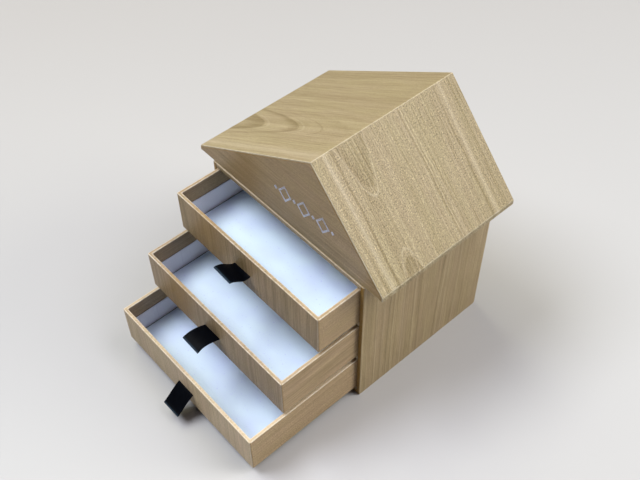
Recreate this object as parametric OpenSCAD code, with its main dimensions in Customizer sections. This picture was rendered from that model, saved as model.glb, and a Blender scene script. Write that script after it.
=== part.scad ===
// House-shaped gift box: an open-fronted casing with two shelves, three pull-out
// drawers and a hollow lopsided gable roof, all of grey board wrapped in paper.
// Millimetres. The origin is the centre of the casing's underside, +Z is up and
// the drawers come out along -Y. The drawers stand as far out as when seen open.

/* [Casing] */
// Width across the side walls
casing_w = 170; // [130:1:240]
// Depth from the front edge to the back
casing_d = 138; // [100:1:200]
// Board of the side and back walls
wall_board = 3; // [2:0.1:4]
// Board of the floor, the shelves and the top
shelf_board = 3.9; // [2:0.1:5]
// Board of the plate under the casing
base_board = 3.2; // [2:0.1:5]
// Paper that wraps every board
paper = 0.3; // [0.15:0.05:0.5]

/* [Roof] */
// How far each eave stands out past the casing wall
eave_reach = 17; // [8:0.5:30]
// Height of the ridge above the top of the casing
roof_rise = 81; // [50:1:110]
// How far the ridge stands to the right of the middle
ridge_shift = 30; // [0:1:45]
// Board of the slopes, the gables and the roof's floor
roof_board = 3; // [2:0.1:4]
// Height of the blunt eave above the roof's floor board
eave_nose = 1.2; // [0.8:0.1:4]
// Step back of each gable from the casing's front and back
gable_step = 0.75; // [0.7:0.05:3]
// Bare margin between a gable's cover paper and the edges
gable_margin = 1.2; // [0.5:0.1:4]

/* [Drawers] */
// Height of each drawer
drawer_h = 38.5; // [28:0.5:50]
// Board of the drawer walls and floor
drawer_board = 2.4; // [1.8:0.1:3.5]
// Gap at each side of a drawer
side_gap = 0.4; // [0.2:0.05:1]
// Gap above a drawer
head_gap = 0.9; // [0.4:0.1:2]
// Gap under a drawer
foot_gap = 0.1; // [0.05:0.05:0.3]
// Gap behind a closed drawer
back_gap = 0.5; // [0.2:0.1:3]
// How far the top drawer stands out
top_out = 39; // [0:1:90]
// How far the middle drawer stands out
middle_out = 74; // [0:1:90]
// How far the bottom drawer stands out
bottom_out = 106; // [0:1:110]

/* [Drawer lining] */
// Thickness of the white liner round the walls
liner = 0.5; // [0.3:0.1:1]
// Top of the liner above the drawer's underside
liner_top = 23; // [12:0.5:26]
// Thickness of the white floor card
card = 0.6; // [0.4:0.1:2]
// Gap between the floor card and the liner
card_gap = 0.4; // [0.2:0.1:1]

/* [Ribbon pulls] */
// Width of the ribbon
ribbon_w = 18; // [10:0.5:25]
// Thickness of the ribbon
ribbon = 0.35; // [0.2:0.05:0.5]
// Length of the loop outside the drawer
loop_l = 21; // [14:0.5:30]
// Length of the tails glued inside the front wall
tail_l = 11; // [6:0.5:14]
// Height of the slit above the drawer's underside
slit_z = 16.5; // [15:0.5:22]
// Room round the ribbon in its slit
slit_gap = 0.15; // [0.1:0.05:0.4]

/* [Hidden] */
DRAWER_PIECES = ["front_board", "back_board", "left_board", "right_board", "floor_board",
                 "wrap", "liner", "floor_card", "pull"];

WOOD = "#b09a72";
WOOD_SHADE = "#94835c";
GREY = "#8d877c";
WHITE = "#eef1f6";
BLACK = "#15171c";

past = 1;                                 // how far a cut runs past the face it opens

// Casing: walls stand on the base plate, and the shelves lie between them.
wall_t = wall_board + 2 * paper;
shelf_t = shelf_board + 2 * paper;
bay_h = foot_gap + drawer_h + head_gap;
bay_w = casing_w - 2 * wall_t;
bay_back = casing_d / 2 - wall_t;         // front face of the back wall's inner paper
front = -casing_d / 2;
plate_top = paper + base_board;
floor_z = plate_top;                      // underside of the casing floor
lower_z = floor_z + shelf_t + bay_h;      // underside of the lower shelf
upper_z = lower_z + shelf_t + bay_h;      // underside of the upper shelf
top_z = upper_z + shelf_t + bay_h;        // underside of the casing top
casing_h = top_z + shelf_t;

// Drawers: index 0 is the top one.
drawer_w = bay_w - 2 * side_gap;
drawer_d = bay_back - back_gap - front;
drawer_wall = drawer_board + 2 * paper;
drawer_z = [for (shelf = [upper_z, lower_z, floor_z]) shelf + shelf_t + foot_gap];
drawer_out = [top_out, middle_out, bottom_out];
inside_z = paper + drawer_board;          // top of the drawer's floor board
card_z = inside_z + card;

// Ribbon pulls: each loop leaves its slit, and its direction at the slit, halfway
// and at the fold is set by hand, in degrees above level, as is its sideways place.
loop_angle = [[8, 42, -5], [22, 12, -30], [-30, -42, -38]];
pull_x = [-3, -1, 0];
loop_steps = 14;
loop_half = 0.1;                          // half of the gap between the two plies
fold_half = 0.45;                         // half of the gap inside the fold
fold_share = 0.16;                        // share of the loop that swells into the fold
ply_half = loop_half + ribbon;            // half the thickness of the closed loop
tail_t = 2 * ribbon;                      // both tails lie on each other
slit_h = 2 * (ply_half + slit_gap);
slit_w = ribbon_w + 2 * slit_gap;
recess_t = tail_t + slit_gap;             // pocket pressed into the front board

// Roof outline in x and z, anticlockwise from the left foot of the eave.
roof_half = casing_w / 2 + eave_reach;
eave_h = paper + roof_board + eave_nose;
ridge = [ridge_shift, casing_h + roof_rise];
outline = [[-roof_half, casing_h], [roof_half, casing_h], [roof_half, casing_h + eave_h],
           ridge, [-roof_half, casing_h + eave_h]];
roof_front = front + gable_step;
roof_back = -roof_front;

// The polygon with each edge moved inwards by its own distance. Edge i runs from
// point i to the next, and the points go anticlockwise.
function unit(v) = v / norm(v);
function along(points, i) = unit(points[(i + 1) % len(points)] - points[i]);
function inwards(d) = [-d[1], d[0]];
function cross2(a, b) = a[0] * b[1] - a[1] * b[0];
function meet(p, a, q, b) = p + a * cross2(q - p, b) / cross2(a, b);
function inset(points, gaps) = let (n = len(points))
    [for (i = [0 : n - 1]) let (h = (i + n - 1) % n, a = along(points, h), b = along(points, i))
        meet(points[i] + inwards(a) * gaps[h], a, points[i] + inwards(b) * gaps[i], b)];
function same(gap) = [for (i = [0 : 4]) gap];

// Lines of the roof's boards: outside of the boards, and the hollow they enclose.
shell = inset(outline, concat([paper + roof_board], [for (i = [1 : 4]) paper]));
foot_left = meet(outline[4], along(outline, 3), outline[0], [1, 0]);
foot_right = meet(outline[2], along(outline, 2), outline[0], [1, 0]);
hollow = inset([foot_left, foot_right, ridge], [for (i = [0 : 2]) paper + roof_board]);

module box(low, high) { translate(low) cube(high - low); }

// A flat shape drawn in x and z, as thick as the stretch of y that it fills.
module slab_y(y_low, y_high) {
    translate([0, y_high, 0]) rotate([90, 0, 0]) linear_extrude(y_high - y_low) children();
}

// ---- Casing ----

// Plan of the side and back walls, made thinner by a skin on every face.
module wall_plan(skin) {
    difference() {
        translate([-casing_w / 2 + skin, front + skin])
            square([casing_w - 2 * skin, casing_d - 2 * skin]);
        translate([-bay_w / 2 - skin, front - past])
            square([bay_w + 2 * skin, bay_back + skin - front + past]);
    }
}

module casing_wrap() {
    side = casing_w / 2 - paper;
    color(WOOD) difference() {
        union() {
            linear_extrude(casing_h) wall_plan(0);
            box([-casing_w / 2, front, 0], [casing_w / 2, -front, plate_top]);
        }
        translate([0, 0, plate_top - past / 2])
            linear_extrude(casing_h - paper - plate_top + past / 2) wall_plan(paper);
        box([-side, front + paper, -past], [side, -front - paper, plate_top]);
    }
}

module base_layer(z_low, z_high) {
    side = casing_w / 2 - paper;
    box([-side, front + paper, z_low], [side, -front - paper, z_high]);
}

module base_paper() { color(WOOD_SHADE) base_layer(0, paper); }
module base_plate() { color(GREY) base_layer(paper, plate_top); }

// hand is -1 for the left wall and 1 for the right one.
module side_wall_board(hand) {
    outer = casing_w / 2 - paper;
    color(GREY) translate([hand < 0 ? -outer : outer - wall_board, front + paper, plate_top])
        cube([wall_board, casing_d - 2 * paper, casing_h - paper - plate_top]);
}

module back_wall_board() {
    half = bay_w / 2 + paper;
    color(GREY) box([-half, bay_back + paper, plate_top], [half, -front - paper, casing_h - paper]);
}

// A shelf is a board with a sheet of paper round its front edge, from back to back.
module shelf_core(z_low) {
    box([-bay_w / 2, front + paper, z_low + paper], [bay_w / 2, bay_back, z_low + shelf_t - paper]);
}

module shelf_sheet(z_low) {
    color(WOOD) difference() {
        box([-bay_w / 2, front, z_low], [bay_w / 2, bay_back, z_low + shelf_t]);
        box([-bay_w / 2 - past, front + paper, z_low + paper],
            [bay_w / 2 + past, bay_back + past, z_low + shelf_t - paper]);
    }
}

// ---- Roof ----

module roof_wrap() {
    color(WOOD) difference() {
        slab_y(roof_front + paper, roof_back - paper) polygon(outline);
        slab_y(roof_front + 2 * paper, roof_back - 2 * paper)
            polygon(inset(outline, [-past, paper, paper, paper, paper]));
    }
}

module roof_layer(z_low, z_high) {
    side = roof_half - paper;
    box([-side, roof_front + 2 * paper, z_low], [side, roof_back - 2 * paper, z_high]);
}

module roof_underside_paper() { color(WOOD_SHADE) roof_layer(casing_h, casing_h + paper); }

module roof_floor_board() {
    color(GREY) roof_layer(casing_h + paper, casing_h + paper + roof_board);
}

module slope_board(points) {
    color(GREY) slab_y(roof_front + 2 * paper, roof_back - 2 * paper) polygon(points);
}

module left_slope_board() { slope_board([shell[0], hollow[0], hollow[2], shell[3], shell[4]]); }
module right_slope_board() { slope_board([shell[1], shell[2], shell[3], hollow[2], hollow[1]]); }

module gable_board(y_low) { color(GREY) slab_y(y_low, y_low + roof_board) polygon(hollow); }

module gable_paper(y_low) {
    color(WOOD_SHADE) slab_y(y_low, y_low + paper) polygon(inset(outline, same(gable_margin)));
}

// ---- Drawers: drawn closed, with the underside at z = 0, then put in place ----

module in_place(i) { translate([0, -drawer_out[i], drawer_z[i]]) children(); }

// A block that stands back from the drawer's four outer faces by a step.
module inner_block(step, z_low, z_high) {
    half = drawer_w / 2 - step;
    box([-half, front + step, z_low], [half, front + drawer_d - step, z_high]);
}

module pull_slit(i) {
    translate([pull_x[i] - slit_w / 2, front - past, slit_z - slit_h / 2])
        cube([slit_w, past + paper + drawer_board, slit_h]);
}

// The paper covers the tray's outside, its rim and the inside of its walls.
module drawer_wrap(i) {
    color(WOOD) in_place(i) difference() {
        inner_block(0, 0, drawer_h);
        difference() {
            inner_block(paper, paper, drawer_h - paper);
            inner_block(paper + drawer_board, inside_z, drawer_h);
        }
        inner_block(drawer_wall, paper, drawer_h + past);
        pull_slit(i);
    }
}

module drawer_front_board(i) {
    half = drawer_w / 2 - paper - drawer_board;
    inner_y = front + paper + drawer_board;
    color(GREY) in_place(i) difference() {
        box([-half, front + paper, paper], [half, inner_y, drawer_h - paper]);
        pull_slit(i);
        translate([pull_x[i] - slit_w / 2, inner_y - recess_t, slit_z - slit_h / 2 - tail_l])
            cube([slit_w, recess_t + past, slit_h + tail_l]);
    }
}

module drawer_back_board(i) {
    half = drawer_w / 2 - paper - drawer_board;
    outer_y = front + drawer_d - paper;
    color(GREY) in_place(i)
        box([-half, outer_y - drawer_board, paper], [half, outer_y, drawer_h - paper]);
}

// hand is -1 for the left wall and 1 for the right one.
module drawer_side_board(i, hand) {
    outer = drawer_w / 2 - paper;
    color(GREY) in_place(i)
        translate([hand < 0 ? -outer : outer - drawer_board, front + paper, paper])
            cube([drawer_board, drawer_d - 2 * paper, drawer_h - 2 * paper]);
}

module drawer_floor_board(i) {
    color(GREY) in_place(i) inner_block(paper + drawer_board, paper, inside_z);
}

module drawer_liner(i) {
    color(WHITE) in_place(i) difference() {
        inner_block(drawer_wall, inside_z, liner_top);
        inner_block(drawer_wall + liner, inside_z - past, liner_top + past);
    }
}

module drawer_floor_card(i) {
    color(WHITE) in_place(i) inner_block(drawer_wall + liner + card_gap, inside_z, card_z);
}

// ---- Ribbon pulls: outlines in the distance out of the wall and the height ----

// Direction of the loop at a share t of its length, through its three set directions.
function loop_dir(a, t) = a[0] * (1 - t) * (1 - 2 * t) + a[1] * 4 * t * (1 - t) + a[2] * t * (2 * t - 1);

// Middle line of the loop from the slit to the fold, step by step.
function loop_line(a, n = loop_steps) = n == 0 ? [[0, 0]] :
    let (before = loop_line(a, n - 1), turn = loop_dir(a, (n - 0.5) / loop_steps))
    concat(before, [before[n - 1] + [cos(turn), sin(turn)] * loop_l / loop_steps]);

// Half thickness of the gap between the plies, which opens into the fold.
function gap_half(t) = loop_half + (fold_half - loop_half)
    * (t < 1 - fold_share ? 0 : (1 - cos(180 * (t - 1 + fold_share) / fold_share)) / 2);

// Closed outline at a distance outside the gap, round at the fold.
function loop_outline(a, out) = let (line = loop_line(a), n = loop_steps,
    side = [for (i = [0 : n]) let (d = loop_dir(a, i / n)) inwards([cos(d), sin(d)])],
    half = [for (i = [0 : n]) gap_half(i / n) + out],
    d = loop_dir(a, 1))
    concat([for (i = [0 : n]) line[i] - side[i] * half[i]],
           [for (turn = [-60 : 30 : 60]) line[n] + half[n] * [cos(d + turn), sin(d + turn)]],
           [for (i = [n : -1 : 0]) line[i] + side[i] * half[i]]);

module drawer_pull(i) {
    wall = paper + drawer_board;
    tail_low = slit_z - ply_half - tail_l;
    tail_y = front + wall - tail_t;
    color(BLACK) in_place(i) translate([pull_x[i] - ribbon_w / 2, 0, 0]) {
        // the loop, turned so that its line runs out along -Y
        translate([0, front, slit_z]) rotate([90, 0, -90]) mirror([0, 0, 1]) linear_extrude(ribbon_w)
            difference() {
                polygon(loop_outline(loop_angle[i], ribbon));
                polygon(loop_outline(loop_angle[i], 0));
            }
        // the plies through the slit and the tails behind it
        box([0, front, slit_z - ply_half], [ribbon_w, front + wall, slit_z - loop_half]);
        box([0, front, slit_z + loop_half], [ribbon_w, front + wall, slit_z + ply_half]);
        box([0, tail_y, tail_low], [ribbon_w, front + wall, slit_z + ply_half]);
    }
}

base_paper();
base_plate();
color(GREY) shelf_core(floor_z);  // casing_floor_board
shelf_sheet(floor_z);  // casing_floor_paper
side_wall_board(-1);  // left_wall_board
side_wall_board(1);  // right_wall_board
back_wall_board();
casing_wrap();
color(GREY) shelf_core(lower_z);  // lower_shelf_board
shelf_sheet(lower_z);  // lower_shelf_paper
color(GREY) shelf_core(upper_z);  // upper_shelf_board
shelf_sheet(upper_z);  // upper_shelf_paper
color(GREY) shelf_core(top_z);  // casing_top_board
shelf_sheet(top_z);  // casing_top_paper
roof_floor_board();
roof_underside_paper();
left_slope_board();
right_slope_board();
gable_board(roof_front + 2 * paper);  // front_gable_board
gable_board(roof_back - 2 * paper - roof_board);  // rear_gable_board
roof_wrap();
gable_paper(roof_front);  // front_gable_paper
gable_paper(roof_back - paper);  // rear_gable_paper
drawer_front_board(0);  // top_drawer_front_board
drawer_back_board(0);  // top_drawer_back_board
drawer_side_board(0, -1);  // top_drawer_left_board
drawer_side_board(0, 1);  // top_drawer_right_board
drawer_floor_board(0);  // top_drawer_floor_board
drawer_wrap(0);  // top_drawer_wrap
drawer_liner(0);  // top_drawer_liner
drawer_floor_card(0);  // top_drawer_floor_card
drawer_pull(0);  // top_drawer_pull
drawer_front_board(1);  // middle_drawer_front_board
drawer_back_board(1);  // middle_drawer_back_board
drawer_side_board(1, -1);  // middle_drawer_left_board
drawer_side_board(1, 1);  // middle_drawer_right_board
drawer_floor_board(1);  // middle_drawer_floor_board
drawer_wrap(1);  // middle_drawer_wrap
drawer_liner(1);  // middle_drawer_liner
drawer_floor_card(1);  // middle_drawer_floor_card
drawer_pull(1);  // middle_drawer_pull
drawer_front_board(2);  // bottom_drawer_front_board
drawer_back_board(2);  // bottom_drawer_back_board
drawer_side_board(2, -1);  // bottom_drawer_left_board
drawer_side_board(2, 1);  // bottom_drawer_right_board
drawer_floor_board(2);  // bottom_drawer_floor_board
drawer_wrap(2);  // bottom_drawer_wrap
drawer_liner(2);  // bottom_drawer_liner
drawer_floor_card(2);  // bottom_drawer_floor_card
drawer_pull(2);  // bottom_drawer_pull
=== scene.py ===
"""A house-shaped gift box with three pull-out drawers, dressed for its picture.

The box is grey board wrapped in paper printed with a pale wood grain. Its drawers are lined with
white paper and have loops of black ribbon as pulls. The frame gives every size and place; this
script adds the folded paper, the linings, the cloth and their finishes, the table, the light and
the camera.
"""

import logging
import math
from dataclasses import dataclass
from enum import Enum
from functools import partial
from typing import Callable, Iterable, Mapping, Sequence

import bmesh
import bpy
from mathutils import Matrix, Vector


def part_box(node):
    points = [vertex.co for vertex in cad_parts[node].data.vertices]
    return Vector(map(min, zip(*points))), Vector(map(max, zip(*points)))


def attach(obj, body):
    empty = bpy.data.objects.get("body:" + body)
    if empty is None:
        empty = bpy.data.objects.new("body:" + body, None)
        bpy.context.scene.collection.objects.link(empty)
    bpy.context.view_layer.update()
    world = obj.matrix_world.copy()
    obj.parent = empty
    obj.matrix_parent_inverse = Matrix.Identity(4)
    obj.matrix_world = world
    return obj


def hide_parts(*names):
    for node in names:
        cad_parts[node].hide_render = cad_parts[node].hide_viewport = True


LOG = logging.getLogger("gift_box")
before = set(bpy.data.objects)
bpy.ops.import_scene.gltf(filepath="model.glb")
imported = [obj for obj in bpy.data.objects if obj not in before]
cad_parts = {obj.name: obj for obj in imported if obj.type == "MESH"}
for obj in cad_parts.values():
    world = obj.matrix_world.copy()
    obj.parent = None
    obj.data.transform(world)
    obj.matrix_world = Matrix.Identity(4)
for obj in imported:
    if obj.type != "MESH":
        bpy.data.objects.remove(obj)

MM = 0.001
PAPER = 0.3 * MM
SHEET_MAP = "sheet"
# The seam mark darkens real seams and cut edges, and also carries painted shade: on the casing's
# front edges and mouth, inside the trays and round the floor cards.
SEAM_AND_SHADE_MARK = "seam"
# The bend mark makes folds paler: partly wear, partly painted highlight where the rounded edges
# catch the light.
BEND_MARK = "bend"
SHARP = math.radians(20)
LEVEL = math.radians(0.5)
MOSTLY = 0.7
FLAT_WEIGHT = 80

Colour = tuple[float, float, float]
# From a face's middle, its normal and one of its corners to the corner's place on the sheet.
Chart = Callable[[Vector, Vector, Vector], tuple[float, float]]
Mesh = bmesh.types.BMesh
Face = bmesh.types.BMFace
Edge = bmesh.types.BMEdge


# ---- Shader maths ----


class Signal:
    """A shader socket whose operators add the Math nodes that they stand for."""

    def __init__(self, bench: "Bench", socket: bpy.types.NodeSocket) -> None:
        """Wraps a socket of a bench."""
        self.bench = bench
        self.socket = socket

    def __add__(self, other: "Signal | float") -> "Signal":
        """Adds."""
        return self.bench.maths("ADD", self, other)

    def __radd__(self, other: float) -> "Signal":
        """Adds, reflected."""
        return self.bench.maths("ADD", other, self)

    def __sub__(self, other: "Signal | float") -> "Signal":
        """Subtracts."""
        return self.bench.maths("SUBTRACT", self, other)

    def __rsub__(self, other: float) -> "Signal":
        """Subtracts, reflected."""
        return self.bench.maths("SUBTRACT", other, self)

    def __mul__(self, other: "Signal | float") -> "Signal":
        """Multiplies."""
        return self.bench.maths("MULTIPLY", self, other)

    def __rmul__(self, other: float) -> "Signal":
        """Multiplies, reflected."""
        return self.bench.maths("MULTIPLY", other, self)

    def __truediv__(self, other: "Signal | float") -> "Signal":
        """Divides."""
        return self.bench.maths("DIVIDE", self, other)

    def __rtruediv__(self, other: float) -> "Signal":
        """Divides, reflected."""
        return self.bench.maths("DIVIDE", other, self)

    def __pow__(self, other: "Signal | float") -> "Signal":
        """Raises to a power."""
        return self.bench.maths("POWER", self, other)

    def __abs__(self) -> "Signal":
        """Drops the sign."""
        return self.bench.maths("ABSOLUTE", self)

    def ramp(self, low: float, high: float) -> "Signal":
        """Rises smoothly from 0 at low to 1 at high.

        Args:
            low: The value that becomes 0.
            high: The value that becomes 1. It may be below low.

        Returns:
            The share, held between 0 and 1.
        """
        settings = {"interpolation_type": "SMOOTHSTEP"}
        sockets = {"Value": self, "From Min": low, "From Max": high}
        return self.bench.node("ShaderNodeMapRange", settings, sockets)

    def floor(self) -> "Signal":
        """Rounds down."""
        return self.bench.maths("FLOOR", self)

    def fract(self) -> "Signal":
        """Keeps what stands after the point."""
        return self.bench.maths("FRACT", self)


class Bench:
    """A new material and the nodes that are laid out for it."""

    def __init__(self, name: str) -> None:
        """Starts an empty material.

        Args:
            name: The material's name.
        """
        self.material = bpy.data.materials.new(name)
        self.material.use_nodes = True
        self.tree = self.material.node_tree
        self.tree.nodes.clear()

    def node(
        self,
        kind: str,
        settings: Mapping[str, object],
        sockets: Mapping[str, object],
        output: str | int = 0,
    ) -> Signal:
        """Adds one node.

        Args:
            kind: The node's type.
            settings: Its own settings, which are set first.
            sockets: Values or signals for its inputs, by name or identifier.
            output: Which output to return.

        Returns:
            That output.
        """
        made = self.tree.nodes.new(kind)
        for key, value in settings.items():
            setattr(made, key, value)
        for key, value in sockets.items():
            target = self._named(made.inputs, key)
            if isinstance(value, Signal):
                self.tree.links.new(value.socket, target)
            elif isinstance(value, tuple) and len(value) == 3 and target.type == "RGBA":
                target.default_value = (*value, 1.0)
            else:
                target.default_value = value
        if isinstance(output, int):
            return Signal(self, made.outputs[output])
        return Signal(self, self._named(made.outputs, output))

    @staticmethod
    def _named(sockets: Iterable[bpy.types.NodeSocket], name: str) -> bpy.types.NodeSocket:
        """Finds the socket in use that has a name or an identifier."""
        return next(s for s in sockets if name in (s.identifier, s.name) and s.enabled)

    def maths(self, operation: str, *values: Signal | float) -> Signal:
        """Adds one Math node."""
        sockets = dict(zip(("Value", "Value_001"), values))
        return self.node("ShaderNodeMath", {"operation": operation}, sockets)

    def mix(self, share: Signal, first: Signal | Colour, second: Signal | Colour) -> Signal:
        """Goes from one colour to another.

        Args:
            share: How far it has gone, held between 0 and 1.
            first: The colour at 0.
            second: The colour at 1.

        Returns:
            The colour.
        """
        settings = {"data_type": "RGBA", "clamp_factor": True}
        sockets = {"Factor_Float": share, "A_Color": first, "B_Color": second}
        return self.node("ShaderNodeMix", settings, sockets, "Result_Color")

    def tone(self, colour: Signal, strength: Signal) -> Signal:
        """Makes a colour lighter or darker.

        Args:
            colour: The colour.
            strength: The factor, which changes over the surface.

        Returns:
            The new colour.
        """
        grey = self.node("ShaderNodeCombineXYZ", {}, dict.fromkeys("XYZ", strength))
        sockets = {"Vector": colour, "Vector_001": grey}
        return self.node("ShaderNodeVectorMath", {"operation": "MULTIPLY"}, sockets)

    def noise(self, point: Signal, size: float = 1.0, detail: float = 2.0) -> Signal:
        """Adds smooth noise about 0.5.

        Args:
            point: Where it is read.
            size: The size of its blots, in the point's own unit.
            detail: How many finer layers it has.

        Returns:
            The noise, mostly between 0.3 and 0.7.
        """
        sockets = {"Vector": point, "Scale": 1.0 / size, "Detail": detail, "Roughness": 0.55}
        return self.node("ShaderNodeTexNoise", {"noise_dimensions": "3D"}, sockets, "Fac")

    def blots(
        self, u: Signal, v: Signal, along: float, across: float, seed: float, detail: float = 2.0
    ) -> Signal:
        """Adds noise whose blots have a set length and width, in metres.

        Args:
            u: The place along the grain.
            v: The place across the grain.
            along: The blots' length.
            across: The blots' width.
            seed: Which slice of the noise to read.
            detail: How many finer layers it has.

        Returns:
            The noise, mostly between 0.3 and 0.7.
        """
        point = {"X": u / along, "Y": v / across, "Z": seed}
        return self.noise(self.node("ShaderNodeCombineXYZ", {}, point), detail=detail)

    def sheet(self) -> tuple[Signal, Signal]:
        """Reads the place on the flat sheet, along and across its grain, in metres."""
        u, v, _ = self.axes(self.node("ShaderNodeUVMap", {"uv_map": SHEET_MAP}, {}))
        return u, v

    def place(self) -> Signal:
        """Reads the place in the object's own frame, in metres."""
        return self.node("ShaderNodeTexCoord", {}, {}, "Object")

    def bump(self, height: Signal, depth: float, strength: float) -> Signal:
        """Turns a height between 0 and 1 into a surface normal, for a depth in metres."""
        sockets = {"Height": height, "Distance": depth, "Strength": strength}
        return self.node("ShaderNodeBump", {}, sockets)

    def axes(self, point: Signal) -> tuple[Signal, Signal, Signal]:
        """Takes a point apart into x, y and z."""
        parts = self.node("ShaderNodeSeparateXYZ", {}, {"Vector": point}, "X").socket.node
        return tuple(Signal(self, parts.outputs[name]) for name in "XYZ")

    def finish(self, **sockets: object) -> bpy.types.Material:
        """Closes the material with one surface shader.

        Args:
            sockets: Values or signals by socket name, with underscores for spaces.

        Returns:
            The material.
        """
        named = {key.replace("_", " "): value for key, value in sockets.items()}
        surface = self.node("ShaderNodeBsdfPrincipled", {}, named)
        output = self.tree.nodes.new("ShaderNodeOutputMaterial")
        self.tree.links.new(surface.socket, output.inputs["Surface"])
        return self.material

    def mark(self, name: str) -> Signal:
        """Reads one of the marks that the shaping leaves on a piece."""
        return self.node("ShaderNodeAttribute", {"attribute_name": name}, {}, "Fac")


# ---- Finishes ----


@dataclass(frozen=True)
class Finish:
    """One finish, laid once and then shared."""

    name: str

    def material(self) -> bpy.types.Material:
        """Gives the finish's material, and lays it at the first call."""
        return bpy.data.materials.get(self.name) or self.lay(Bench(self.name))

    def lay(self, bench: Bench) -> bpy.types.Material:
        """Lays the finish on an empty bench."""
        raise NotImplementedError


class Course(Enum):
    """How a line of the print runs."""

    STRAIGHT = 0.0
    ARCHED = 1.0
    TURNED = -1.0


@dataclass(frozen=True)
class GrainLine:
    """One line of the print that the eye picks out. A light one has a strength below 0.

    A straight line's place is where it crosses u = 0. An arched one's is where its tip lies along
    u, and it opens towards lower u, or towards higher u when it is turned. The line fades over its
    width on one side, and over its depth on the other.
    """

    place: float
    width: float
    strength: float
    drift: float = 0.0
    course: Course = Course.STRAIGHT
    depth: float = 0.0


def fine_lines(*places: float, width: float = 0.8, strength: float = 0.15) -> tuple[GrainLine, ...]:
    """Makes straight lines of one kind. Places and width are in millimetres."""
    return tuple(GrainLine(place * MM, width * MM, strength) for place in places)


class Grain(Enum):
    """The marks of the print and the painted glints, each with its length and width in mm and its
    slice of the noise.

    The last two numbers, where there are any, are the levels that the mark is cut between.
    """

    SWAY = (110, 30, 0)
    QUIVER = (15, 6, 3)
    JITTER = (60, 9, 5)
    BROAD = (170, 9, 7)
    THREAD = (190, 1.4, 9)
    STREAK = (45, 2.6, 11, 0.36, 0.7)
    FIBRE = (9, 0.5, 13)
    PORE = (3.2, 0.3, 17, 0.58, 0.7)
    FLECK = (1.1, 0.6, 19)
    GLINT = (4.5, 0.6, 29, 0.56, 0.7)
    BLUSH = (70, 14, 23, 0.35, 0.65)
    CHIP = (2.2, 2.2, 31, 0.35, 0.65)
    STRIPE = (28, 0.55, 37, 0.5, 0.68)


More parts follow.
